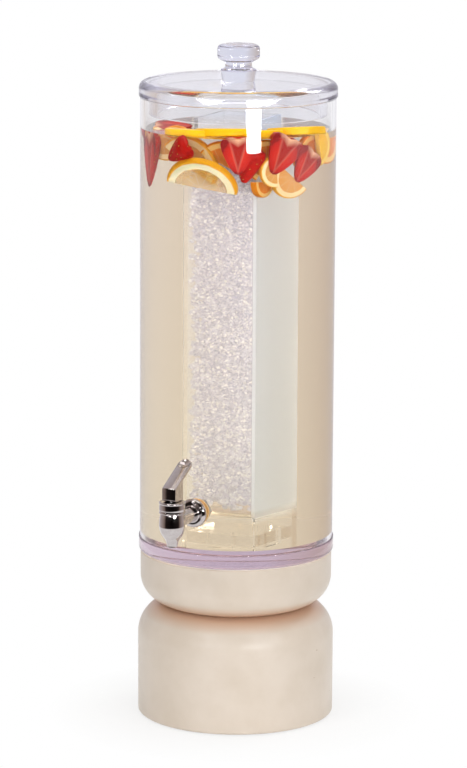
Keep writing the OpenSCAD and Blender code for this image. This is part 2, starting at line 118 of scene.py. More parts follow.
# %% [markdown]
# Materials are built from a few shader nodes. One function adds a node with its settings, links and colour
# stops. Another turns a colour in hex, as a painter writes it, into the linear light that the renderer
# counts in. Patterns use Object coordinates in real millimetres, so they keep their size and stay put on
# the piece.

# %% Material tools
PATTERN_DETAIL = 3.0
CLOUD_RANGE = (0.3, 0.7)


def colour(hex_text):
    parts = [int(hex_text[i:i + 2], 16) / 255 for i in (0, 2, 4)]
    light = [p / 12.92 if p <= 0.04045 else ((p + 0.055) / 1.055) ** 2.4 for p in parts]
    return (*light, 1.0)


def add_node(tree, kind, inputs=(), stops=(), **settings):
    """Adds a node; its inputs, by name or in order, are values, outputs, or nodes for their first output."""
    node = tree.nodes.new("ShaderNode" + kind)
    for name, value in settings.items():
        setattr(node, name, value)
    for name, value in inputs.items() if isinstance(inputs, dict) else enumerate(inputs):
        if isinstance(value, bpy.types.Node):
            value = next(output for output in value.outputs if output.enabled)
        if isinstance(value, bpy.types.NodeSocket):
            tree.links.new(value, node.inputs[name])
        else:
            node.inputs[name].default_value = value
    if stops:
        elements = node.color_ramp.elements
        while len(elements) < len(stops):
            elements.new(0.5)
        for element, (place, hex_text) in zip(elements, stops):
            element.position = place
            element.color = colour(hex_text)
    return node


def new_material(name):
    """An empty material, the function that adds nodes to it, and the place of a point in metres."""
    material = bpy.data.materials.new(name)
    material.use_nodes = True
    material.node_tree.nodes.clear()
    add = partial(add_node, material.node_tree)
    return material, add, add("TexCoord").outputs["Object"]


print("white in linear light:", colour("FFFFFF"))

# %% [markdown]
# Cast acrylic bends light a little less than glass. It looks colourless in a thin wall and faintly lavender
# through a long way of it, along the floor plate and the lid's rim, so its colour sits in the volume. A
# very faint cloud of roughness stands for handling marks. Acrylic with drink on both sides hardly bends
# light, so it gets a lower index there. Lamp light passes straight through, because what stands inside
# would be left dark.

# %% Clear acrylic
HANDLING_PATCH = mm(18)
ACRYLIC_IOR = 1.49
WET_IOR = 1.12
FAINT_HAZE = 0.012
KNOB_HAZE = 0.03
LAVENDER = "5027B3"
MAUVE = "A2278B"


def lamps_pass(add, surface):
    """Lets lamp light through a clear piece, so that what stands inside is lit."""
    to_lamp = add("LightPath").outputs["Is Shadow Ray"]
    return add("MixShader", [to_lamp, surface, add("BsdfTransparent")])


def clear_acrylic(name, tint, depth_colour, density, haze=FAINT_HAZE, ior=ACRYLIC_IOR):
    material, add, place = new_material(name)
    marks = add("TexNoise", {"Vector": place, "Scale": 1 / HANDLING_PATCH, "Detail": PATTERN_DETAIL})
    gloss = add("MapRange", [marks, *CLOUD_RANGE, 0.0, haze])
    surface = add("BsdfPrincipled", {
        "Base Color": colour(tint), "Roughness": gloss, "IOR": ior,
        "Transmission Weight": 1.0})
    depth = add("VolumeAbsorption", {"Color": colour(depth_colour), "Density": density})
    add("OutputMaterial", {"Surface": lamps_pass(add, surface), "Volume": depth})
    return material


tank_acrylic = clear_acrylic("Clear cast acrylic", "F9F9FB", LAVENDER, 1.3)
plate_acrylic = clear_acrylic("Thick cast acrylic plate", "F9F8FB", MAUVE, 3.4)
lid_acrylic = clear_acrylic("Clear cast acrylic lid", "F9F9FB", LAVENDER, 2.6)
knob_acrylic = clear_acrylic("Solid cast acrylic knob", "EDEFF8", LAVENDER, 4.0, KNOB_HAZE)
wet_acrylic = clear_acrylic("Clear acrylic under the drink", "FFFFFF", LAVENDER, 0.5, ior=WET_IOR)
print("clear materials:", tank_acrylic.name, plate_acrylic.name, lid_acrylic.name)

# %% [markdown]
# The ice tube is the same acrylic with a film of frost above the ice's floor, thickest on the wall to the
# right of the spigot, where no chips lie against it. The film has no thickness to see, so instead of a
# second skin the surface itself scatters as much light as the frost covers.

# %% Frosted acrylic
FROST_FADE = mm(8)
FROST_THIN = 0.16
FROST_THICK = 0.58
FROST_HAZE = 0.06


def frosted_tube():
    material, add, place = new_material("Acrylic with a film of frost")
    apart = add("SeparateXYZ", [place])
    frost_from = bottom("ice_tube_floor")
    above = add("MapRange", [apart.outputs["Z"], frost_from - FROST_FADE, frost_from + FROST_FADE])
    wall_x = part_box("ice_tube")[1].x - ICE_WALL
    right_wall = add("MapRange", [apart.outputs["X"], wall_x - mm(1), wall_x - mm(0.2),
                                  FROST_THIN, FROST_THICK])
    cover = add("Math", [above, right_wall], operation="MULTIPLY")
    clear_share = add("Math", [1.0, cover], operation="SUBTRACT")
    film = add("TexNoise", {"Vector": place, "Scale": 1 / HANDLING_PATCH, "Detail": PATTERN_DETAIL})
    tint = add("Mix", {"Factor": cover, 6: colour("FFFFFF"), 7: colour("DCECFF")}, data_type="RGBA")
    gloss = add("MapRange", [film, *CLOUD_RANGE, 0.0, FROST_HAZE])
    surface = add("BsdfPrincipled", {
        "Base Color": tint, "Roughness": gloss, "IOR": WET_IOR,
        "Transmission Weight": clear_share})
    add("OutputMaterial", {"Surface": lamps_pass(add, surface)})
    return material


frosted_acrylic = frosted_tube()
print("frosted material:", frosted_acrylic.name)

# %% [markdown]
# The base is turned wood under a cream satin lacquer: nearly even, with faint clouds of tone, a few small
# knocks, and a fine ripple that breaks up the highlight. In the crease a warmer, darker tone is painted in as
# the shade that falls there. One even colour would look like plastic.

# %% Lacquer
TONE_PATCH = mm(45)
TONE_DETAIL = 5.0
RIPPLE = mm(2.5)
KNOCK_SPACING = mm(26)
KNOCK_SHARE = 0.028
CREASE_NEAR = mm(3)
CREASE_FAR = mm(14)


def cream_lacquer():
    material, add, place = new_material("Cream satin lacquer")
    cloud = add("TexNoise", {"Vector": place, "Scale": 1 / TONE_PATCH, "Detail": TONE_DETAIL})
    ripple = add("TexNoise", {"Vector": place, "Scale": 1 / RIPPLE, "Detail": PATTERN_DETAIL})
    knocks = add("TexVoronoi", {"Vector": place, "Scale": 1 / KNOCK_SPACING})
    knocked = add("Math", [knocks, KNOCK_SHARE], operation="LESS_THAN")
    height = add("SeparateXYZ", [place]).outputs["Z"]
    over_crease = add("Math", [height, bottom("base_collar")], operation="SUBTRACT")
    from_crease = add("Math", [over_crease], operation="ABSOLUTE")
    # Painted shade: a warmer, darker tone near the crease between drum and collar, where the two cream
    # surfaces shade each other.
    crease_shade_share = add("MapRange", [from_crease, CREASE_NEAR, CREASE_FAR, 1.0, 0.0])
    paint = add("ValToRGB", [cloud], [(0.35, "DACCBC"), (0.65, "E2D5C7")])
    crease_shaded = add("Mix", {"Factor": crease_shade_share, 6: paint, 7: colour("D8B69C")}, data_type="RGBA")
    worn = add("Mix", {"Factor": knocked, 6: crease_shaded, 7: colour("B39A7E")}, data_type="RGBA")
    bump = add("Bump", {"Height": ripple, "Strength": 0.04, "Distance": mm(0.2)})
    gloss = add("MapRange", [ripple, *CLOUD_RANGE, 0.30, 0.38])
    surface = add("BsdfPrincipled", {
        "Base Color": worn, "Roughness": gloss, "Normal": bump})
    add("OutputMaterial", {"Surface": surface})
    return material


lacquer = cream_lacquer()
print("lacquer:", lacquer.name)

# %% [markdown]
# Everything else has two close tones in soft patches. Chrome plate is almost all reflection, so it is near
# white and very smooth, with slight wiping marks. Rubber and silicone are dull, steel and brass shine a
# little, and beech is dry. One function makes them all.

# %% Plain finishes
def plain_solid(name, dark, light, patch, smooth, rough, metallic=0.0):
    """A solid of two close tones in soft patches, with a roughness that follows them."""
    material, add, place = new_material(name)
    cloud = add("TexNoise", {"Vector": place, "Scale": 1 / patch, "Detail": PATTERN_DETAIL})
    tone = add("ValToRGB", [cloud], [(0.3, dark), (0.7, light)])
    gloss = add("MapRange", [cloud, *CLOUD_RANGE, smooth, rough])
    surface = add("BsdfPrincipled", {
        "Base Color": tone, "Metallic": metallic, "Roughness": gloss})
    add("OutputMaterial", {"Surface": surface})
    return material


chrome = plain_solid("Polished chrome plate", "BEB6B6", "CAC4C3", mm(4), 0.04, 0.08, metallic=1.0)
amber = plain_solid("Amber silicone", "D9A866", "E6BC82", mm(5), 0.36, 0.44)
rubber = plain_solid("Matte black rubber", "2B2928", "383533", mm(4), 0.675, 0.825)
silicone = plain_solid("Pale silicone", "DCD8D3", "E6E2DD", mm(6), 0.45, 0.55)
steel = plain_solid("Plain stainless steel", "B4B4B6", "C4C4C6", mm(5), 0.252, 0.308, metallic=1.0)
brass = plain_solid("Turned brass", "C29A4A", "CFA958", mm(4), 0.27, 0.33, metallic=1.0)
beech = plain_solid("Plain beech", "B9925F", "C9A473", mm(3), 0.54, 0.66)
print("plain finishes:", chrome.name, amber.name, steel.name)

# %% [markdown]
# Most pieces here are turned on a lathe or cast in a round mould. Stacked cylinders would need rounding
# afterwards, but an outline spun round the axis has every step and round at once. The outline grows from
# one point, a plane merged at its centre, by extruding. After the spin the first and the last ring lie on
# each other, so they are merged, and the normals are turned outward.

# %% Turning tools
MERGE_GAP = mm(0.002)
SMOOTH_ANGLE = 32


def clear_selection():
    if bpy.context.object and bpy.context.object.mode != "OBJECT":
        bpy.ops.object.mode_set(mode="OBJECT")
    bpy.ops.object.select_all(action="DESELECT")


def smoothed(angle=SMOOTH_ANGLE):
    """Smooths the selected piece, all but the edges that are sharper than the angle."""
    bpy.ops.object.shade_smooth_by_angle(angle=math.radians(angle))


def placed():
    """Puts the selected piece's place, turn and size into its mesh."""
    bpy.ops.object.transform_apply(location=True, rotation=True, scale=True)


def drawn(name, points):
    """A new piece in edit mode that holds one chain of points, all selected."""
    clear_selection()
    bpy.ops.mesh.primitive_plane_add(size=mm(1), location=points[0])
    piece = bpy.context.object
    piece.name = name
    placed()
    bpy.ops.object.mode_set(mode="EDIT")
    bpy.ops.mesh.select_all(action="SELECT")
    bpy.ops.mesh.merge(type="CENTER")
    for start, end in zip(points, points[1:]):
        bpy.ops.mesh.extrude_vertices_move(TRANSFORM_OT_translate={"value": Vector(end) - Vector(start)})
    bpy.ops.mesh.select_all(action="SELECT")
    return piece


def closed(piece, smooth_angle):
    """Merges what lies on each other, turns the normals outward and leaves edit mode."""
    bpy.ops.mesh.select_all(action="SELECT")
    bpy.ops.mesh.remove_doubles(threshold=MERGE_GAP)
    bpy.ops.mesh.normals_make_consistent(inside=False)
    bpy.ops.object.mode_set(mode="OBJECT")
    smoothed(smooth_angle)
    return piece


def held(outline, reach=mm(0.5)):
    """Adds a point near each end of a long straight stretch, so that a round doesn't tilt its light."""
    points = [Vector(outline[0])]
    for start, end in zip(outline, outline[1:]):
        run = Vector(end) - Vector(start)
        if run.length > 4 * reach:
            step = run.normalized() * reach
            points += [Vector(start) + step, Vector(end) - step]
        points.append(Vector(end))
    return points


def turned(name, outline, origin=(0, 0, 0), along=(0, 0, 1), steps=160, smooth_angle=SMOOTH_ANGLE):
    """Spins an outline of (radius, distance along the axis) round the axis through the origin."""
    origin, along, out = Vector(origin), Vector(along), Vector((1, 0, 0))
    piece = drawn(name, [origin + out * r + along * h for r, h in held(outline)])
    bpy.ops.mesh.spin(steps=steps, angle=math.tau, center=origin, axis=along)
    return closed(piece, smooth_angle)


def arc(centre, r, start, end, steps):
    """Points on a round stretch of an outline, angles in degrees."""
    turns = [math.radians(start + (end - start) * i / steps) for i in range(steps + 1)]
    return [(centre[0] + r * math.cos(t), centre[1] + r * math.sin(t)) for t in turns]


def low_edge(r, z, edge, steps):
    """The round at an outline's lower outer edge."""
    return arc((r - edge, z + edge), edge, -90, 0, steps)


def high_edge(r, z, edge, steps):
    """The round at an outline's upper outer edge."""
    return arc((r - edge, z - edge), edge, 0, 90, steps)


print("a quarter round in four steps has", len(arc((0, 0), 1, 0, 90, 4)), "points")

# %% [markdown]
# The base has two tiers turned from solid stock. The drum's wide round shoulder and the collar's round
# underside meet in the deep crease that is the base's main line. The CAD nodes have the same form in
# coarser facets, and many steps give a clean highlight. A finished piece gets its material, its body and
# the CAD nodes that it stands for.

# %% Base drum and collar
DRUM_SHOULDER = mm(34)
DRUM_EDGE = mm(2.5)
FOOT_WIDTH = mm(13)
COLLAR_ROUND = mm(30)
COLLAR_EDGE = mm(1.5)
RECESS_DEPTH = mm(5.5)
RECESS_FIT = mm(0.75)
BOLT_WELL_R = mm(12.5)
BOLT_WELL_DEPTH = mm(11)


def finished(piece, material, body, stands_for=()):
    """Gives a piece its material and its body, and hides the CAD nodes that it stands for."""
    piece.data.materials.clear()
    piece.data.materials.append(material)
    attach(piece, body)
    if stands_for:
        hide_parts(*stands_for)
    print(piece.name, len(piece.data.polygons), "faces")
    return piece


drum_r, drum_z0, drum_z1 = full_radius("base_drum"), bottom("base_drum"), top("base_drum")
foot_r, foot_top = radius("base_foot"), top("base_foot")
groove_r = foot_r - FOOT_WIDTH
drum_outline = [
    (0, drum_z0), (groove_r, drum_z0), (groove_r, foot_top),
    (foot_r, foot_top), (foot_r, drum_z0),
    *low_edge(drum_r, drum_z0, DRUM_EDGE, 5),
    *high_edge(drum_r, drum_z1, DRUM_SHOULDER, 24),
    (0, drum_z1),
]
finished(turned("lacquered_drum", drum_outline), lacquer, "base", ["base_drum"])

collar_r, collar_z0, collar_z1 = radius("base_collar"), bottom("base_collar"), top("base_collar")
recess_r, recess_z = radius("tank_locator") + RECESS_FIT, collar_z1 - RECESS_DEPTH
well_z = recess_z - BOLT_WELL_DEPTH
collar_outline = [
    (0, collar_z0),
    *low_edge(collar_r, collar_z0, COLLAR_ROUND, 24),
    *high_edge(collar_r, collar_z1, COLLAR_EDGE, 5),
    (recess_r, collar_z1), (recess_r, recess_z),
    (BOLT_WELL_R, recess_z), (BOLT_WELL_R, well_z), (0, well_z),
]
finished(turned("lacquered_collar", collar_outline), lacquer, "base", ["base_collar"])

# %% [markdown]
# The tank is a stock acrylic tube bonded to a thick floor plate. A bond line is never quite invisible, so
# the two stay separate with a hair of air between them. The disc that finds the base's recess is welded on
# without a line, so it shares the plate's outline. The tube is a ring outline, and a boolean cutter drills
# the spigot's hole.

# %% Tank tube and floor
FLOOR_EDGE = mm(3)
FLOOR_TOP_EDGE = mm(1)
FLOOR_FIT = mm(0.05)
RIM_EDGE = mm(0.6)
HOLE_R = mm(8.4)
DRILL_LEN = mm(30)
TANK_STEPS = 240


def only(piece):
    clear_selection()
    piece.select_set(True)
    bpy.context.view_layer.objects.active = piece


def modified(piece, kind, **settings):
    """Adds a modifier with its settings to a piece and applies it."""
    only(piece)
    bpy.ops.object.modifier_add(type=kind)
    modifier = piece.modifiers[-1]
    for name, value in settings.items():
        setattr(modifier, name, value)
    bpy.ops.object.modifier_apply(modifier=modifier.name)


def carve(piece, tool, operation="DIFFERENCE"):
    """Takes the tool's shape out of the piece, or keeps what both share, and throws the tool away."""
    modified(piece, "BOOLEAN", operation=operation, solver="EXACT", object=tool)
    bpy.data.objects.remove(tool)


tube_z0, tube_z1 = bottom("tank_tube") + BOND_GAP, top("tank_tube") - BOND_GAP
tube_outline = [
    (TANK_INNER_R, tube_z0), (TANK_R, tube_z0),
    *high_edge(TANK_R, tube_z1, RIM_EDGE, 3),
    *arc((TANK_INNER_R + RIM_EDGE, tube_z1 - RIM_EDGE), RIM_EDGE, 90, 180, 3),
    (TANK_INNER_R, tube_z0),
]
tube = turned("clear_tube", tube_outline, steps=TANK_STEPS)
clear_selection()
bpy.ops.mesh.primitive_cylinder_add(vertices=48, radius=HOLE_R, depth=DRILL_LEN,
                                    location=(0, -TANK_R, SHANK_Z), rotation=(math.pi / 2, 0, 0))
carve(tube, bpy.context.object)
smoothed()
finished(tube, tank_acrylic, "tank", ["tank_tube"])

floor_r = -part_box("tank_floor")[0].y
floor_z0, floor_z1, floor_z2 = bottom("tank_floor") + BOND_GAP, tube_z0 - BOND_GAP, FLOOR_TOP - BOND_GAP
locator_r, locator_z0 = radius("tank_locator"), bottom("tank_locator")
centre_r = TANK_INNER_R - FLOOR_FIT
floor_outline = [
    (0, locator_z0), (locator_r, locator_z0), (locator_r, floor_z0),
    *low_edge(floor_r, floor_z0, FLOOR_EDGE, 8),
    *high_edge(floor_r, floor_z1, FLOOR_TOP_EDGE, 4),
    (centre_r, floor_z1), (centre_r, floor_z2), (0, floor_z2),
]
floor_plate = turned("clear_floor_plate", floor_outline, steps=TANK_STEPS)
finished(floor_plate, plate_acrylic, "tank", ["tank_floor", "tank_locator"])

# %% [markdown]
# The lid is a hollow cap with a rounded rim and a ring under it that drops into the tank. Cap and ring are
# welded with solvent, which leaves no line: light runs from one into the other, and the fruit shows as an
# amber line in the rim. So they are drawn as one outline and not as two pieces.

# %% Lid with its ring
LID_ROUND = mm(7)
LID_EDGE = mm(1.2)
LID_PLATE = mm(6)
RING_WALL = mm(8)
RING_EDGE = mm(1)

lid_r, lid_z0, lid_z1 = full_radius("lid_disc"), bottom("lid_disc"), top("lid_disc")
ring_r, ring_z0 = radius("lid_ring"), bottom("lid_ring")
cap_r, cap_z = ring_r - RING_WALL, lid_z1 - LID_PLATE
lid_outline = [
    (0, cap_z), (cap_r, cap_z), (cap_r, ring_z0),
    *low_edge(ring_r, ring_z0, RING_EDGE, 4),
    (ring_r, lid_z0),
    *low_edge(lid_r, lid_z0, LID_EDGE, 5),
    *high_edge(lid_r, lid_z1, LID_ROUND, 14),
    (0, lid_z1),
]
lid = turned("clear_lid", lid_outline, steps=TANK_STEPS)
finished(lid, lid_acrylic, "lid", ["lid_disc", "lid_ring"])

# %% [markdown]
# The knob is one solid piece of acrylic turned on a lathe, and its outline is its whole character: a foot
# that narrows to a bead, a thin neck and a fat button on top. Heights are counted from the lid, so the foot
# and the bead keep their size, and the button's from the knob's top.

# %% Knob
FOOT_R = mm(16.5)
BEAD_R = mm(17)
BEAD_H = mm(11)
BEAD_ROUND = mm(1.5)
BEAD_TO_NECK = [(mm(14.6), mm(13.6)), (mm(13.8), mm(15.4))]
KNOB_NECK_R = mm(13.8)
BUTTON_T = mm(14.5)
BUTTON_LOW_ROUND = mm(4.5)
BUTTON_TOP_ROUND = mm(5)

knob_r, knob_z0 = radius("lid_knob"), lid_z1 + BOND_GAP
knob_h = top("lid_knob") - knob_z0
button_h = knob_h - BUTTON_T
knob_outline = [
    (0, 0), (FOOT_R, 0),
    *arc((BEAD_R, BEAD_H), BEAD_ROUND, -10, 70, 6),
    *BEAD_TO_NECK,
    (KNOB_NECK_R, button_h - mm(4.6)), (mm(15), button_h - mm(3.2)),
    *arc((knob_r - BUTTON_LOW_ROUND, button_h + mm(3)), BUTTON_LOW_ROUND, -70, 0, 10),
    *high_edge(knob_r, knob_h, BUTTON_TOP_ROUND, 10),
    (0, knob_h),
]
knob = turned("clear_knob", knob_outline, origin=(0, 0, knob_z0), steps=96)
finished(knob, knob_acrylic, "lid", ["lid_knob"])

# %% [markdown]
# The spigot's shank runs along the Y axis: a domed flange against its washer, a plain neck, and a threaded
# end inside the tank that the nut holds. It is turned like the rest, only about a lying axis. The thread is
# under the nut, where nobody sees it, so it stays plain.

# %% Spigot shank
FLANGE_R = radius("spigot_shank")
FLANGE_OFF_WALL = mm(3.4)
FLANGE_T = mm(5)
FLANGE_RIM = mm(0.8)
NECK_R = mm(8)
NECK_FILLET = mm(1.2)
NECK_STOP = mm(8.6)
THREAD_R = mm(8)
SPIGOT_STEPS = 96

flange_y = -TANK_R - FLANGE_OFF_WALL
neck_end = flange_y - BARREL_Y - NECK_STOP
thread_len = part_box("spigot_shank")[1].y - flange_y
dome = FLANGE_T - FLANGE_RIM
shank_outline = [
    (0, -thread_len), (THREAD_R, -thread_len), (THREAD_R, 0),
    *low_edge(FLANGE_R, 0, FLANGE_RIM, 5),
    *arc((FLANGE_R - dome, FLANGE_RIM), dome, 0, 80, 12),
    *arc((NECK_R + NECK_FILLET, FLANGE_T + NECK_FILLET), NECK_FILLET, -90, -180, 6),
    (NECK_R, neck_end), (0, neck_end),
]
shank = turned("chrome_shank", shank_outline, origin=(0, flange_y, SHANK_Z), along=(0, -1, 0),
               steps=SPIGOT_STEPS)
finished(shank, chrome, "tank", ["spigot_shank"])

# %% [markdown]
# The barrel stands upright on the shank's end. Its round shoulder runs into a hollow round that narrows to
# the spout. For the two arcs to touch, their centres lie as far apart as both radii together, and the line
# between the centres gives the angle where one hands over to the other. The bonnet is a slightly bowed ring
# screwed on top, with a mouth for the stem.

# %% Spigot barrel and bonnet
BARREL_SHOULDER = mm(20)
BARREL_HOLLOW = mm(14)
BARREL_DOWN = mm(2)
BARREL_SWELL = mm(55)
BARREL_EDGE = mm(0.6)
SPOUT_R = mm(5.5)
SPOUT_LIP = mm(0.5)
SPOUT_BORE_R = mm(3.6)
SPOUT_BORE_DEPTH = mm(6)
BONNET_FOOT = mm(0.8)
BONNET_TOP = mm(1.3)
BONNET_BOW = mm(28)
BONNET_BOW_IN = mm(0.3)
BONNET_BOW_ANGLE = 7.5
MOUTH_R = mm(2.7)
MOUTH_DEPTH = mm(3)

barrel_r, barrel_z1, spout_z0 = radius("spigot_body"), top("spigot_body"), bottom("spigot_body")
shoulder_x, shoulder_z = barrel_r - BARREL_SHOULDER, SHANK_Z - BARREL_DOWN
hollow_x = SPOUT_R + BARREL_HOLLOW
hollow_z = shoulder_z - math.sqrt((BARREL_SHOULDER + BARREL_HOLLOW) ** 2 - (hollow_x - shoulder_x) ** 2)
turn = math.degrees(math.atan2(hollow_z - shoulder_z, hollow_x - shoulder_x))
swell = math.degrees(math.asin((barrel_z1 - BARREL_EDGE - shoulder_z) / BARREL_SWELL))
bore_z = spout_z0 + SPOUT_BORE_DEPTH
barrel_outline = [(0, bore_z), (SPOUT_BORE_R, bore_z), (SPOUT_BORE_R, spout_z0)]
barrel_outline += [(SPOUT_R - SPOUT_LIP, spout_z0), (SPOUT_R, spout_z0 + SPOUT_LIP)]
barrel_outline += arc((hollow_x, hollow_z), BARREL_HOLLOW, 180, turn + 180, 10)
barrel_outline += arc((shoulder_x, shoulder_z), BARREL_SHOULDER, turn, 0, 20)
barrel_outline += arc((barrel_r - BARREL_SWELL, shoulder_z), BARREL_SWELL, 0, swell, 8)
barrel_outline += [(barrel_outline[-1][0] - BARREL_EDGE, barrel_z1), (0, barrel_z1)]
barrel = turned("chrome_barrel", barrel_outline, origin=(0, BARREL_Y, 0), steps=SPIGOT_STEPS)
finished(barrel, chrome, "tank", ["spigot_body"])

bonnet_r, bonnet_z0, bonnet_z1 = radius("spigot_bonnet"), bottom("spigot_bonnet"), top("spigot_bonnet")
bow_at = (bonnet_r - BONNET_BOW - BONNET_BOW_IN, (bonnet_z0 + bonnet_z1) / 2)
bonnet_outline = [
    (0, bonnet_z0),
    *arc((bonnet_r - BONNET_FOOT, bonnet_z0 + BONNET_FOOT), BONNET_FOOT, -90, 60, 6),
    *arc(bow_at, BONNET_BOW, -BONNET_BOW_ANGLE, BONNET_BOW_ANGLE, 8),
    *arc((bonnet_r - BONNET_TOP, bonnet_z1 - BONNET_TOP), BONNET_TOP, -30, 90, 8),
    (MOUTH_R, bonnet_z1), (MOUTH_R, bonnet_z1 - MOUTH_DEPTH), (0, bonnet_z1 - MOUTH_DEPTH),
]
bonnet = turned("chrome_bonnet", bonnet_outline, origin=(0, BARREL_Y, 0), steps=SPIGOT_STEPS)
finished(bonnet, chrome, "tank", ["spigot_bonnet"])

# %% [markdown]
# The lever is a die-cast block with a sloping thumb paddle. Its front and its thumb face are both bowed
# across, which draws the long bright lines on it. Pushing faces out of a cube would hardly hit the crease
# where the two bows meet, so a long bar with a bowed top is laid along the slope, and three shapes trim it:
# the bowed front, the side view and the paddle's round end. The heel is sliced off, so that it clears the
# bonnet as it tilts.

# %% Lever body
LEVER_GAP = mm(0.3)
LEVER_HALF_W = mm(7.6)
FACE_BOW = mm(24)
BOW_STEPS = 32
BLOCK_DEPTH = mm(19.5)
BLOCK_FRONT_H = mm(15)
HEEL_IN = mm(5)
HEEL_UP = mm(2.3)
PADDLE_SLOPE = math.radians(26.5)
PADDLE_LEN = mm(49.5)
PADDLE_T = mm(4.4)
BAR_BEFORE = mm(30)
BAR_DEEP = mm(40)
SPARE = mm(2)

block_z0 = bonnet_z1 + LEVER_GAP
front_y, back_y = BARREL_Y - BLOCK_DEPTH / 2, BARREL_Y + BLOCK_DEPTH / 2
crease = Vector((0, front_y, block_z0 + BLOCK_FRONT_H))
up_slope = Vector((0, math.cos(PADDLE_SLOPE), math.sin(PADDLE_SLOPE)))
out_of_face = Vector((0, -math.sin(PADDLE_SLOPE), math.cos(PADDLE_SLOPE)))


def on_paddle(across, up, out):
    """A place on the lever, counted from the middle of the crease along the thumb face."""
    return crease + Vector((across, 0, 0)) + up_slope * up + out_of_face * out


def pulled(name, points, pull):
    """Fills a closed chain of points and pulls the face along a vector."""
    piece = drawn(name, points + points[:1])
    bpy.ops.mesh.remove_doubles(threshold=MERGE_GAP)
    bpy.ops.mesh.edge_face_add()
    bpy.ops.mesh.extrude_region_move(TRANSFORM_OT_translate={"value": pull})
    return closed(piece, SMOOTH_ANGLE)


def sliced(piece, point, normal):
    """Cuts off what lies on the normal's side of a plane and closes the cut."""
    only(piece)
    bpy.ops.object.mode_set(mode="EDIT")
    bpy.ops.mesh.select_all(action="SELECT")
    bpy.ops.mesh.bisect(plane_co=point, plane_no=Vector(normal).normalized(), use_fill=True, clear_outer=True)
    bpy.ops.object.mode_set(mode="OBJECT")


wide = LEVER_HALF_W + SPARE
sweep = math.degrees(math.asin(wide / FACE_BOW))
bar = arc((0, -FACE_BOW), FACE_BOW, 90 - sweep, 90 + sweep, BOW_STEPS)
bar += [(-wide, -BAR_DEEP), (wide, -BAR_DEEP)]
bar_points = [on_paddle(across, -BAR_BEFORE, out) for across, out in bar]
lever = pulled("chrome_lever", bar_points, up_slope * (BAR_BEFORE + PADDLE_LEN + SPARE))

plan = arc((0, front_y + FACE_BOW), FACE_BOW, -90 - sweep, -90 + sweep, BOW_STEPS)
plan += [(wide, front_y + mm(80)), (-wide, front_y + mm(80))]
plan_points = [Vector((x, y, block_z0 - mm(3))) for x, y in plan]
carve(lever, pulled("front_shape", plan_points, (0, 0, mm(70))), "INTERSECT")

back_up = (BLOCK_DEPTH - PADDLE_T * math.sin(PADDLE_SLOPE)) / math.cos(PADDLE_SLOPE)
past_end = PADDLE_LEN + 2 * SPARE
side_points = [Vector((-wide, front_y - SPARE, block_z0)), Vector((-wide, back_y, block_z0)),
               on_paddle(-wide, back_up, -PADDLE_T), on_paddle(-wide, past_end, -PADDLE_T),
               on_paddle(-wide, past_end, SPARE), on_paddle(-wide, -3 * SPARE, SPARE)]
carve(lever, pulled("side_shape", side_points, (2 * wide, 0, 0)), "INTERSECT")

end_at = PADDLE_LEN - LEVER_HALF_W
face = [(LEVER_HALF_W, mm(-35))] + arc((0, end_at), LEVER_HALF_W, 0, 180, 28) + [(-LEVER_HALF_W, mm(-35))]
face_points = [on_paddle(across, up, mm(-45)) for across, up in face]
carve(lever, pulled("face_shape", face_points, out_of_face * mm(60)), "INTERSECT")
sliced(lever, (0, BARREL_Y - HEEL_IN, block_z0), (0, -HEEL_UP, front_y - BARREL_Y + HEEL_IN))
print("lever body:", len(lever.data.polygons), "faces")

# %% [markdown]
# A ball cut out of the paddle leaves the thumb's dimple, and a slot from below leaves room for the stem. A
# fine bevel comes last, so that every edge gets the bright line of cast and polished metal. It isn't held
# back by short edges, because the cuts leave many of them.

# %% Lever dimple, slot and edges
DIMPLE_R = mm(6.6)
DIMPLE_DEPTH = mm(2.2)
DIMPLE_BACK = mm(0.4)
SLOT_HALF_W = mm(2.8)
SLOT_SIDE_VIEW = [(2.7, -2), (2.7, 6), (0, 10.5), (-4.4, 7), (-12, -2)]
LEVER_EDGE = mm(0.7)
LEVER_EDGE_ANGLE = 27


def eased(piece, width, segments, angle):
    """Rounds every edge that is sharper than the angle, and keeps the flat faces flat in the light."""
    modified(piece, "BEVEL", width=width, segments=segments, angle_limit=math.radians(angle),
             use_clamp_overlap=False)
    smoothed(angle)
    modified(piece, "WEIGHTED_NORMAL", keep_sharp=True)


clear_selection()
ball_r = (DIMPLE_R ** 2 + DIMPLE_DEPTH ** 2) / (2 * DIMPLE_DEPTH)
ball_at = on_paddle(0, end_at - DIMPLE_BACK, ball_r - DIMPLE_DEPTH)
bpy.ops.mesh.primitive_uv_sphere_add(segments=96, ring_count=96, radius=ball_r, location=ball_at)
carve(lever, bpy.context.object)
slot_points = [Vector((-SLOT_HALF_W, BARREL_Y + mm(y), block_z0 + mm(z))) for y, z in SLOT_SIDE_VIEW]
carve(lever, pulled("slot_cutter", slot_points, (2 * SLOT_HALF_W, 0, 0)))
eased(lever, LEVER_EDGE, 3, LEVER_EDGE_ANGLE)
finished(lever, chrome, "lever", ["lever"])

# %% [markdown]
# The return spring sits hidden in the bonnet, between its top and the stem's shoulder. A round wire section
# is wound up by a screw modifier, which is how a spring is coiled. The stem rises as the lever tilts, and
# the coil keeps the length of the CAD node.

# %% Return spring
WIRE_R = mm(0.5)
COIL_TURNS = 4

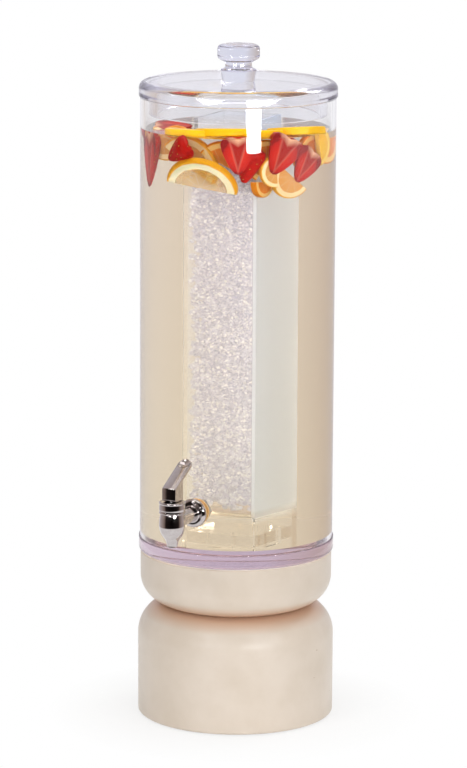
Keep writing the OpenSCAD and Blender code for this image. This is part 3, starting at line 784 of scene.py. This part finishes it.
spring_low, spring_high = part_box("return_spring")
spring_len = spring_high.z - spring_low.z
coil_r = (spring_high.x - spring_low.x) / 2 - WIRE_R
clear_selection()
bpy.ops.mesh.primitive_circle_add(vertices=14, radius=WIRE_R, rotation=(math.pi / 2, 0, 0),
                                  location=(coil_r, 0, 0))
spring = bpy.context.object
spring.name = "steel_spring"
placed()
modified(spring, "SCREW", angle=math.tau * COIL_TURNS, screw_offset=spring_len - 2 * WIRE_R, steps=180)
spring.location = (0, BARREL_Y, spring_low.z + WIRE_R)
placed()
bpy.ops.object.mode_set(mode="EDIT")
bpy.ops.mesh.select_all(action="SELECT")
bpy.ops.mesh.fill_holes(sides=0)
bpy.ops.mesh.normals_make_consistent(inside=False)
bpy.ops.object.mode_set(mode="OBJECT")
smoothed(40)
finished(spring, steel, "tank", ["return_spring"])
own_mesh(spring)

# %% [markdown]
# The rest of the CAD nodes already have the right shape, so they only need their material. Each is listed
# with the finish of the real piece.

# %% Finishes of the CAD nodes
CARRIED_OVER = {
    "base_foot": rubber, "base_dowels": beech, "bolt_washer": steel, "base_bolt": steel, "base_insert": brass,
    "seat_ring": silicone, "ice_key": wet_acrylic, "ice_tube": frosted_acrylic,
    "outer_washer": amber, "inner_washer": amber, "shank_nut": chrome,
    "valve_stem": steel, "valve_plug": silicone, "lever_pin": steel,
}
for name, material in CARRIED_OVER.items():
    nodes[name].data.materials.clear()
    nodes[name].data.materials.append(material)
print("carried over:", len(CARRIED_OVER))

# %% [markdown]
# What the dispenser holds is not part of it, but a clear tank only looks right when it is filled. The drink
# bends light like water and has a pale tan colour in its depth. It reaches a hair into the tank's wall, so
# that no film of air lies between them, and stays a hair off the floor plate, so that its underside mirrors
# like a bright floor. A square well is cut for the ice tube.

# %% Drink
WATER_IOR = 1.333
DRINK_DEPTH_COLOUR = "E9C555"
DRINK_DENSITY = 3.0
WET_OVERLAP = mm(0.3)
WELL_REACH = mm(500)
ICE_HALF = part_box("ice_tube")[1].x


def iced_drink():
    material, add, place = new_material("Iced fruit drink")
    height = add("SeparateXYZ", [place]).outputs["Z"]
    rise = add("MapRange", [height, FLOOR_TOP, DRINK_TOP])
    skin = add("ValToRGB", [rise], [(0.0, "FFFCF2"), (1.0, "FFFBF9")])
    surface = add("BsdfPrincipled", {
        "Base Color": skin, "Roughness": 0.0, "IOR": WATER_IOR, "Transmission Weight": 1.0})
    depth = add("VolumeAbsorption", {"Color": colour(DRINK_DEPTH_COLOUR), "Density": DRINK_DENSITY})
    add("OutputMaterial", {"Surface": lamps_pass(add, surface), "Volume": depth})
    return material


def square_block(name, side, low, high):
    """A square block on the tank's axis, between two heights."""
    clear_selection()
    bpy.ops.mesh.primitive_cube_add(size=1, location=(0, 0, (low + high) / 2))
    bpy.ops.transform.resize(value=(side, side, high - low))
    placed()
    block = bpy.context.object
    block.name = name
    return block


plate_z0, plate_z1 = bottom("ice_tube_floor"), top("ice_tube_floor")
drink_z0 = FLOOR_TOP + BOND_GAP
clear_selection()
bpy.ops.mesh.primitive_cylinder_add(vertices=TANK_STEPS, radius=TANK_INNER_R + WET_OVERLAP,
                                    depth=DRINK_TOP - drink_z0, location=(0, 0, (DRINK_TOP + drink_z0) / 2))
drink = bpy.context.object
drink.name = "fruit_drink"
placed()
carve(drink, square_block("well_cutter", 2 * (ICE_HALF - WET_OVERLAP), plate_z0, plate_z0 + WELL_REACH))
smoothed()
finished(drink, iced_drink(), "tank")

# %% [markdown]
# The plate that holds the ice clear of the tank's floor is a square of the same sheet, with its edges
# broken by a file. It stands a hair off the ice tube's walls, where the bond would be.

# %% Ice tube floor
ICE_ROOM = ICE_HALF - ICE_WALL
FILED_EDGE = mm(0.4)
FILED_ANGLE = 30

ice_plate = square_block("clear_ice_plate", 2 * (ICE_ROOM - BOND_GAP), plate_z0, plate_z1)
eased(ice_plate, FILED_EDGE, 2, FILED_ANGLE)
finished(ice_plate, wet_acrylic, "ice", ["ice_tube_floor"])

# %% [markdown]
# Crushed ice is half clear and half frosted, and each grain has its own tone and gloss. Cells about as wide
# as a grain give each one its lot: most are pale grey, and some are painted pure white as glints of light,
# the sparkle that lamps draw on the chips. The shape of the cell tips the light on it.

# %% Ice material
ICE_GRAIN = mm(1.8)
ICE_IOR = 1.31
ICE_CLEAR_SHARE = 0.25


def crushed_ice():
    material, add, place = new_material("Crushed ice")
    grains = add("TexVoronoi", {"Vector": place, "Scale": 1 / ICE_GRAIN})
    lot = add("SeparateColor", {"Color": grains.outputs["Color"]})
    # Painted highlight: the palest cells turn pure white as glints of light on the chips.
    frost = add("ValToRGB", [lot.outputs["Red"]],
                     [(0.0, "B8BAD0"), (0.7, "CCCEE2"), (0.84, "E8EAF6"), (0.87, "FFFFFF")])
    bump = add("Bump", {"Height": grains, "Strength": 0.5, "Distance": mm(1)})
    gloss = add("MapRange", [lot.outputs["Green"], *CLOUD_RANGE, 0.08, 0.4])
    surface = add("BsdfPrincipled", {
        "Base Color": frost, "Roughness": gloss, "IOR": ICE_IOR,
        "Transmission Weight": ICE_CLEAR_SHARE, "Normal": bump})
    add("OutputMaterial", {"Surface": lamps_pass(add, surface)})
    return material


ice_material = crushed_ice()
print("ice material:", ice_material.name)

# %% [markdown]
# The ice is thousands of small chips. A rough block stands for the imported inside. A few twenty-sided lumps
# are copied, turned and stretched at random along the tube's walls, where they are seen, and pressed flat
# where they would stick through. The random numbers have a fixed seed, so every run gives the same heap.

# %% Crushed ice
ICE_BOTTOM = plate_z1 + mm(0.4)
ICE_TOP = mm(598)
CHIP_KINDS = 4
CHIP_COUNT = 3200
CHIP_R = mm(5.0)
SHELL = mm(7)
CORE_IN = mm(9)
CORE_ROUGH = mm(2.5)
draw = random.Random(11)

core = square_block("ice_core", 2 * (ICE_ROOM - CORE_IN), ICE_BOTTOM + CORE_IN, ICE_TOP - CORE_IN)
bpy.ops.object.mode_set(mode="EDIT")
bpy.ops.mesh.subdivide(number_cuts=11)
bpy.ops.object.mode_set(mode="OBJECT")
for point in core.data.vertices:
    point.co += Vector([draw.uniform(-1, 1) for _ in range(3)]) * CORE_ROUGH

chips = []
for index in range(CHIP_KINDS):
    clear_selection()
    bpy.ops.mesh.primitive_ico_sphere_add(subdivisions=1, radius=CHIP_R)
    chip = bpy.context.object
    for point in chip.data.vertices:
        point.co *= draw.uniform(0.65, 1.0)
    chips.append(chip)

heap = [core]
for index in range(CHIP_COUNT):
    chip = chips[index % CHIP_KINDS].copy()
    chip.data = chip.data.copy()
    scene.collection.objects.link(chip)
    size = draw.uniform(0.55, 1.1)
    room = ICE_ROOM - CHIP_R * size * 0.4
    spot = [draw.uniform(-room, room), draw.uniform(-room, room)]
    wall = draw.randrange(2)
    spot[wall] = math.copysign(room - draw.uniform(0, SHELL), spot[wall])
    share = (index + 0.5) / CHIP_COUNT
    chip.location = (*spot, ICE_BOTTOM + CHIP_R * size + (ICE_TOP - ICE_BOTTOM - 2 * CHIP_R) * share)
    chip.rotation_euler = [draw.uniform(0, math.tau) for _ in range(3)]
    chip.scale = (size, size, size * draw.uniform(0.6, 1.0))
    heap.append(chip)
for chip in chips:
    bpy.data.objects.remove(chip)
clear_selection()
for chip in heap:
    chip.select_set(True)
bpy.context.view_layer.objects.active = core
placed()
bpy.ops.object.join()
ice = bpy.context.object
ice.name = "ice_chips"
pressed = ICE_ROOM - mm(0.2)
for point in ice.data.vertices:
    point.co.x = min(max(point.co.x, -pressed), pressed)
    point.co.y = min(max(point.co.y, -pressed), pressed)
finished(ice, ice_material, "ice")

# %% [markdown]
# The picture is taken from a little above and to the right of the spigot, from nearly four metres away with
# a long lens, which keeps the tank's sides almost parallel. The fruit and the lamps are placed as this
# camera sees them, so it comes first.

# %% Camera
CAMERA_AWAY = 3.9
CAMERA_HEIGHT = 1.148
CAMERA_TURN = math.radians(24.8)
AIM_HEIGHT = mm(353.9)
AIM_ASIDE = mm(-3.5)
ROLL = math.radians(0.3)
LENS_MM = 177.7

to_right = Vector((math.cos(CAMERA_TURN), math.sin(CAMERA_TURN), 0))
to_viewer = Vector((math.sin(CAMERA_TURN), -math.cos(CAMERA_TURN), 0))
clear_selection()
bpy.ops.object.camera_add(location=to_viewer * CAMERA_AWAY + Vector((0, 0, CAMERA_HEIGHT)))
camera = bpy.context.object
aim = to_right * AIM_ASIDE + Vector((0, 0, AIM_HEIGHT))
camera.rotation_euler = (aim - camera.location).to_track_quat("-Z", "Y").to_euler()
camera.rotation_euler.rotate_axis("Z", ROLL)
camera.data.lens = LENS_MM
camera.data.sensor_width = 36
camera.data.clip_end = 40
scene.camera = camera
print("camera at", [round(v, 3) for v in camera.location])

# %% [markdown]
# Citrus slices take their colours from the distance to the middle, flesh, pith and rind, with thin skins
# between the segments, so each slice carries a flat map of its face. Wet flesh lets some light through.
# That is drawn as a share of clear surface inside the pith, because a real volume would render far longer.

# %% Citrus material
FLESH_REACH = 0.76
SEGMENT_WAVES = 5.0
SKIN_WIDTH = 0.10
WET_GLOSS = 0.12


def citrus(name, flesh_dark, flesh_light, pith, rind, clear):
    material, add, place = new_material(name)
    face = add("UVMap", uv_map="face")
    apart = add("SeparateXYZ", [face])
    out = add("VectorMath", [face], operation="LENGTH")
    wobble = add("TexNoise", {"Vector": face, "Scale": 4.0, "Detail": PATTERN_DETAIL})
    reach = add("Math", [wobble, 0.06, out], operation="MULTIPLY_ADD")
    rings = add("ValToRGB", [reach], [
        (0.0, pith), (0.10, flesh_light), (0.74, flesh_dark), (0.78, pith), (0.95, pith), (0.985, rind)])
    turn_by = add("Math", [apart.outputs["Y"], apart.outputs["X"]], operation="ARCTAN2")
    waves = add("Math", [turn_by, SEGMENT_WAVES], operation="MULTIPLY")
    sine = add("Math", [waves], operation="SINE")
    wave = add("Math", [sine], operation="ABSOLUTE")
    between = add("Math", [wave, SKIN_WIDTH], operation="LESS_THAN")
    in_flesh = add("Math", [reach, FLESH_REACH], operation="LESS_THAN")
    skin = add("Math", [between, in_flesh], operation="MULTIPLY")
    pale = add("Math", [skin, 0.6], operation="MULTIPLY")
    gloss = add("MapRange", [wobble, *CLOUD_RANGE, 0.25, 0.4])
    surface = add("BsdfPrincipled", {
        "Base Color": add("Mix", {"Factor": pale, 6: rings, 7: colour(pith)}, data_type="RGBA"),
        "Roughness": gloss, "Specular IOR Level": WET_GLOSS,
        "Subsurface Weight": 0.2, "Subsurface Radius": (mm(4), mm(2.5), mm(1)), "Subsurface Scale": 1.0})
    see_through = add("Math", [in_flesh, clear], operation="MULTIPLY")
    mix = add("MixShader", [see_through, surface, add("BsdfTransparent")])
    add("OutputMaterial", {"Surface": mix})
    return material


lemon = citrus("Ripe lemon slice", "E2B04C", "EABE60", "F6F0C8", "EAA81C", 0.65)
orange = citrus("Orange slice", "F08C2C", "F49E42", "F4CC78", "E88C14", 0.1)
peach = citrus("Pale orange slice", "F0AE58", "F4BC70", "F6E0AC", "EAAA38", 0.25)
yellow = citrus("Yellow lemon slice", "EEB408", "F0BE20", "F4D060", "F8C000", 0.0)
print("citrus materials:", lemon.name, orange.name, peach.name, yellow.name)

# %% [markdown]
# A strawberry cut lengthwise is red flesh that darkens to the skin, with a deeper heart, a pale line round
# it and a pale crown. The skin has small yellow seeds. Cut face and skin share one map, with the skin's
# part far aside, so that one test tells them apart.

# %% Strawberry material
SKIN_OFFSET = 10
SEED_SPACING = mm(4.5)


def strawberry():
    material, add, place = new_material("Strawberry")
    face = add("UVMap", uv_map="face")
    apart = add("SeparateXYZ", [face]).outputs
    out = add("VectorMath", [face], operation="LENGTH")
    streaks = add("TexNoise", {"Vector": face, "Scale": 6.25, "Detail": PATTERN_DETAIL})
    reach = add("Math", [streaks, 0.25, out], operation="MULTIPLY_ADD")
    flesh = add("ValToRGB", [reach], [
        (0.2, "D03016"), (0.65, "C21E0E"), (0.95, "B0140A"), (1.15, "8A0806")])
    aside = add("Math", [apart["X"]], operation="ABSOLUTE")
    past_heart = add("Math", [aside, 0.24], operation="SUBTRACT")
    from_heart = add("Math", [apart["Y"], -0.3, past_heart], operation="MULTIPLY_ADD")
    near_heart = add("Math", [from_heart], operation="ABSOLUTE")
    up_crown = add("Math", [aside, -0.6, apart["Y"]], operation="MULTIPLY_ADD")
    cut = flesh
    for value, stops, strength, tone in (
            (from_heart, [(0.0, "FFFFFF"), (0.02, "000000")], 0.7, "8E0E0A"),
            (near_heart, [(0.02, "FFFFFF"), (0.10, "000000")], 0.18, "F0A68A"),
            (up_crown, [(0.45, "000000"), (0.85, "FFFFFF")], 0.85, "F2C49C")):
        mask = add("ValToRGB", [value], stops)
        share = add("Math", [mask, strength], operation="MULTIPLY")
        cut = add("Mix", {"Factor": share, 6: cut, 7: colour(tone)}, data_type="RGBA")
    seeds = add("TexVoronoi", {"Vector": place, "Scale": 1 / SEED_SPACING})
    skin = add("ValToRGB", [seeds], [(0.10, "DDA648"), (0.16, "A00E0A"), (0.6, "BA180E")])
    is_skin = add("Math", [apart["X"], SKIN_OFFSET / 2], operation="GREATER_THAN")
    gloss = add("MapRange", [streaks, *CLOUD_RANGE, 0.28, 0.4])
    surface = add("BsdfPrincipled", {
        "Base Color": add("Mix", {"Factor": is_skin, 6: cut, 7: skin}, data_type="RGBA"),
        "Roughness": gloss, "Specular IOR Level": WET_GLOSS})
    add("OutputMaterial", {"Surface": surface})
    return material


berry = strawberry()
print("berry material:", berry.name)

# %% [markdown]
# The fruit floats at the top of the drink. A citrus slice is a thin disc with a rounded rind, cut in half,
# and a strawberry is a tapered outline, spun and cut lengthwise. Each is made flat with its face up, then
# placed in millimetres to the right of the tank's axis, towards the viewer and up, and tipped in degrees:
# lean tips its top to the viewer, turn swings it about the upright, and roll turns it like a wheel.

# %% Fruit tools
RIND_ROUND = mm(1.6)
CUT_FACE = 0.9
BERRY_OUTLINE = [(0, -1), (0.2, -0.93), (0.42, -0.68), (0.62, -0.36), (0.8, 0.0), (0.94, 0.34), (1.0, 0.62),
                 (0.93, 0.84), (0.7, 0.97), (0.35, 1.0), (0, 0.9)]


def face_map(piece, half_width, half_length, mark_skin):
    """Writes a flat map of the face; the skin of a cut fruit is moved aside on it."""
    uv = piece.data.uv_layers.new(name="face")
    piece.data.uv_layers.active = uv
    for polygon in piece.data.polygons:
        aside = SKIN_OFFSET if mark_skin and polygon.normal.z < CUT_FACE else 0
        for loop in polygon.loop_indices:
            point = piece.data.vertices[piece.data.loops[loop].vertex_index].co
            uv.data[loop].uv = (point.x / half_width + aside, point.y / half_length)


def laid(piece, right, near, height, lean, turn_by, roll):
    """Sets a fruit that was made flat, face up, into the tank with its face to the viewer."""
    upright = Matrix((to_right, Vector((0, 0, 1)), to_viewer)).transposed()
    turned_by = Euler([math.radians(a) for a in (lean, turn_by, roll)], "ZXY").to_matrix()
    spot = to_right * mm(right) + to_viewer * mm(near) + Vector((0, 0, mm(height)))
    only(piece)
    piece.matrix_world = Matrix.Translation(spot) @ (upright @ turned_by).to_4x4()
    placed()


def half_slice(name, r, thick, material, place):
    clear_selection()
    bpy.ops.mesh.primitive_cylinder_add(vertices=56, radius=mm(r), depth=mm(thick))
    piece = bpy.context.object
    piece.name = name
    bpy.ops.object.mode_set(mode="EDIT")
    bpy.ops.mesh.bevel(offset=RIND_ROUND, segments=3, affect="EDGES")
    bpy.ops.mesh.select_all(action="SELECT")
    bpy.ops.mesh.bisect(plane_co=(0, 0, 0), plane_no=(0, 1, 0), use_fill=True, clear_inner=True)
    bpy.ops.object.mode_set(mode="OBJECT")
    smoothed(40)
    face_map(piece, mm(r), mm(r), False)
    laid(piece, *place)
    finished(piece, material, "tank")


def half_berry(name, width, length, place):
    outline = [(mm(r * width / 2), mm(h * length / 2)) for r, h in BERRY_OUTLINE]
    piece = turned(name, outline, along=(0, 1, 0), steps=36, smooth_angle=50)
    sliced(piece, (0, 0, 0), (0, 0, 1))
    smoothed(50)
    face_map(piece, mm(width / 2), mm(length / 2), True)
    laid(piece, *place)
    finished(piece, berry, "tank")


print("points in a berry's outline:", len(BERRY_OUTLINE))

# %% [markdown]
# Three lists hold the pieces: radius and thickness of a slice, or width and length of a berry, and then its
# place. The flat yellow slices lie on the drink, and the others hang below, turned along the tank's wall at
# the sides.

# %% Fruit
LEMONS = [
    (36, 8, lemon, (-35, 68, 575, 36, -18, -11)),
    (30, 7, yellow, (-44, 46, 626, 84, -20, 4)),
    (32, 8, yellow, (-11, 51, 627, 83, 0, -3)),
    (22, 8, yellow, (29, 53, 626, 83, 14, 5)),
    (30, 8, yellow, (57, 40, 627, 81, 18, -4)),
    (20, 8, yellow, (77, 46, 612, 5, 58, -75)),
]
ORANGES = [
    (31, 7, peach, (-44, 46, 594, 12, -35, -38)),
    (25, 7, peach, (-66, 32, 621, 4, -38, 165)),
    (17, 7, peach, (36, 71, 591, 5, 27, 95)),
    (23, 7, peach, (50, 58, 584, 8, 38, 140)),
    (26, 7, orange, (80, 16, 617, 0, 60, 180)),
    (24, 7, orange, (-14, 60, 597, 10, -8, -30)),
    (22, 7, orange, (26, 60, 600, 0, 20, 60)),
    (24, 7, orange, (66, 36, 602, 5, 58, 20)),
    (16, 7, orange, (22, 55, 578, 0, 60, 175)),
    (26, 7, orange, (-62, 22, 604, 0, -40, 30)),
]
BERRIES = [
    (30, 58, (-84, 28, 596, 0, -72, 0)),
    (30, 40, (-67, 6, 628, -78, -5, 90)),
    (26, 32, (-58, 73, 610, 0, 142, 55)),
    (35, 38, (0, 89, 608, 0, 0, 0)),
    (28, 38, (10, 74, 597, 0, 170, 15)),
    (38, 42, (43, 77, 607, 6, 28, -28)),
    (34, 38, (66, 61, 594, 5, 46, -38)),
]
for number, sizes in enumerate(LEMONS, 1):
    half_slice(f"lemon_slice_{number}", *sizes)
for number, sizes in enumerate(ORANGES, 1):
    half_slice(f"orange_slice_{number}", *sizes)
for number, sizes in enumerate(BERRIES, 1):
    half_berry(f"strawberry_{number}", *sizes)

# %% [markdown]
# A plain pale floor. It keeps a soft shadow close to the dispenser and is white further out, where the
# camera, the metal and the tank look past it, so that it runs into the white surroundings without an edge.

# %% Floor
FLOOR_R = 0.8
SHADOW_NEAR = 0.10
SHADOW_FAR = 0.20
SHADOW_WHITE = 0.75


def studio_floor():
    material, add, place = new_material("Pale studio floor")
    from_middle = add("VectorMath", [place], operation="LENGTH")
    away = add("MapRange", [from_middle, SHADOW_NEAR, SHADOW_FAR, SHADOW_WHITE, 1.0])
    path = add("LightPath").outputs
    looked_at = add("Math", [path["Is Camera Ray"], path["Is Transmission Ray"]], operation="MAXIMUM")
    seen = add("Math", [looked_at, path["Is Glossy Ray"]], operation="MAXIMUM")
    share = add("Math", [away, seen], operation="MULTIPLY")
    pale = add("BsdfDiffuse", {"Color": colour("FAF9F7")})
    white = add("Emission", {"Color": colour("FFFFFF"), "Strength": 1.0})
    add("OutputMaterial", {"Surface": add("MixShader", [share, pale, white])})
    return material


clear_selection()
bpy.ops.mesh.primitive_circle_add(vertices=96, radius=FLOOR_R, fill_type="NGON")
floor = bpy.context.object
floor.name = "studio_floor"
floor.data.materials.append(studio_floor())
print("floor radius in m:", FLOOR_R)

# %% [markdown]
# The surroundings. What the camera sees past the object is plain white from every side. Through the tank it
# sees a white backdrop that turns to warm cream far on the left, where the tank's right side bends the view
# to. Light that the tank mirrors or scatters comes from a room that is dark on the viewer's side, so no
# white veil lies on the tank's front. Polished metal mirrors a room too: bright behind and overhead, dark
# on the viewer's side.

# %% Surroundings
SOFT_LIGHT = 0.38
ROOM_TONES = [(0.0, "E6E4EC"), (0.3, "C4BAB8"), (0.5, "B0A29C"), (0.66, "8A7A72"), (0.76, "2A2220"),
              (1.0, "0E0B0B")]
BACKDROP_TONES = [(0.15, "E2D6CA"), (0.29, "F0EBE6"), (0.40, "FFFFFF")]

world = bpy.data.worlds.new("Studio")
scene.world = world
world.use_nodes = True
world.node_tree.nodes.clear()
add = partial(add_node, world.node_tree)
direction = add("TexCoord").outputs["Generated"]
path = add("LightPath").outputs
facing = add("VectorMath", [direction, to_viewer], operation="DOT_PRODUCT")
aside = add("VectorMath", [direction, to_right], operation="DOT_PRODUCT")
facing_share = add("MapRange", [facing, -1.0, 1.0])
aside_share = add("Math", [aside, 0.5, 0.5], operation="MULTIPLY_ADD")
room_tone = add("ValToRGB", [facing_share], ROOM_TONES)
backdrop = add("ValToRGB", [aside_share], BACKDROP_TONES)
viewer_side = add("MapRange", [facing, 0.2, 0.75, 0.0, 0.8])
bounces = add("Math", [path["Glossy Depth"], path["Diffuse Depth"]], operation="ADD")
turned_back = add("Math", [bounces, 1.0], operation="MINIMUM")
dimming = add("Math", [viewer_side, turned_back], operation="MULTIPLY")
tank_light = add("Math", [1.0, dimming], operation="SUBTRACT")
light = add("Background", {"Color": colour("FFFFFF"), "Strength": SOFT_LIGHT})
for ray, tone, strength in (("Is Glossy Ray", room_tone, 1.0), ("Is Transmission Ray", backdrop, tank_light),
                            ("Is Camera Ray", colour("FFFFFF"), 1.0)):
    seen = add("Background", {"Color": tone, "Strength": strength})
    light = add("MixShader", [path[ray], light, seen])
add("OutputWorld", {"Surface": light})
print("nodes in the surroundings:", len(world.node_tree.nodes))

# %% [markdown]
# The lamps are soft boxes, placed to the right, towards the viewer and up, and aimed at the middle of the
# tank. The broad ones light the object, and the narrow strips draw the long bright marks that a
# photographer puts on clear and polished things.

# %% Lamps
AIM_AT = Vector((0, 0, 0.35))
SOFT_BOXES = {
    "Key soft box": (-1.2, 1.3, 1.9, 0.7, 0.7, 7.5),
    "Right soft box": (1.5, 1.2, 1.3, 0.5, 0.8, 3),
    "Shoulder soft box": (1.1, -0.75, 1.65, 0.5, 0.5, 5),
    "Top soft box": (0.0, 0.1, 2.2, 1.4, 1.4, 9),
    "Right strip": (0.46, 1.45, 0.46, 0.44, 0.10, 3.6),
    "Right lid strip": (0.80, 1.3, 0.50, 0.9, 0.045, 3.4),
    "Left lid strip": (-0.80, 1.3, 0.50, 0.9, 0.045, 3.4),
}
for name, (right, near, height, width, tall, power) in SOFT_BOXES.items():
    clear_selection()
    place = to_right * right + to_viewer * near + Vector((0, 0, height))
    bpy.ops.object.light_add(type="AREA", location=place)
    lamp = bpy.context.object
    lamp.name = name
    lamp.data.shape = "RECTANGLE"
    lamp.data.size = width
    lamp.data.size_y = tall
    lamp.data.energy = power
    lamp.rotation_euler = (AIM_AT - place).to_track_quat("-Z", "Y").to_euler()
print("lamps:", len(SOFT_BOXES))

# %% [markdown]
# Clear pieces stacked in each other need many bounces before light gets through, so the limits are raised.

# %% Render limits
BOUNCES = 40
scene.view_settings.view_transform = "Standard"
for limit in ("max_bounces", "transmission_bounces", "transparent_max_bounces", "glossy_bounces"):
    setattr(scene.cycles, limit, BOUNCES)
scene.cycles.sample_clamp_indirect = 8
print("bounces of light:", BOUNCES)
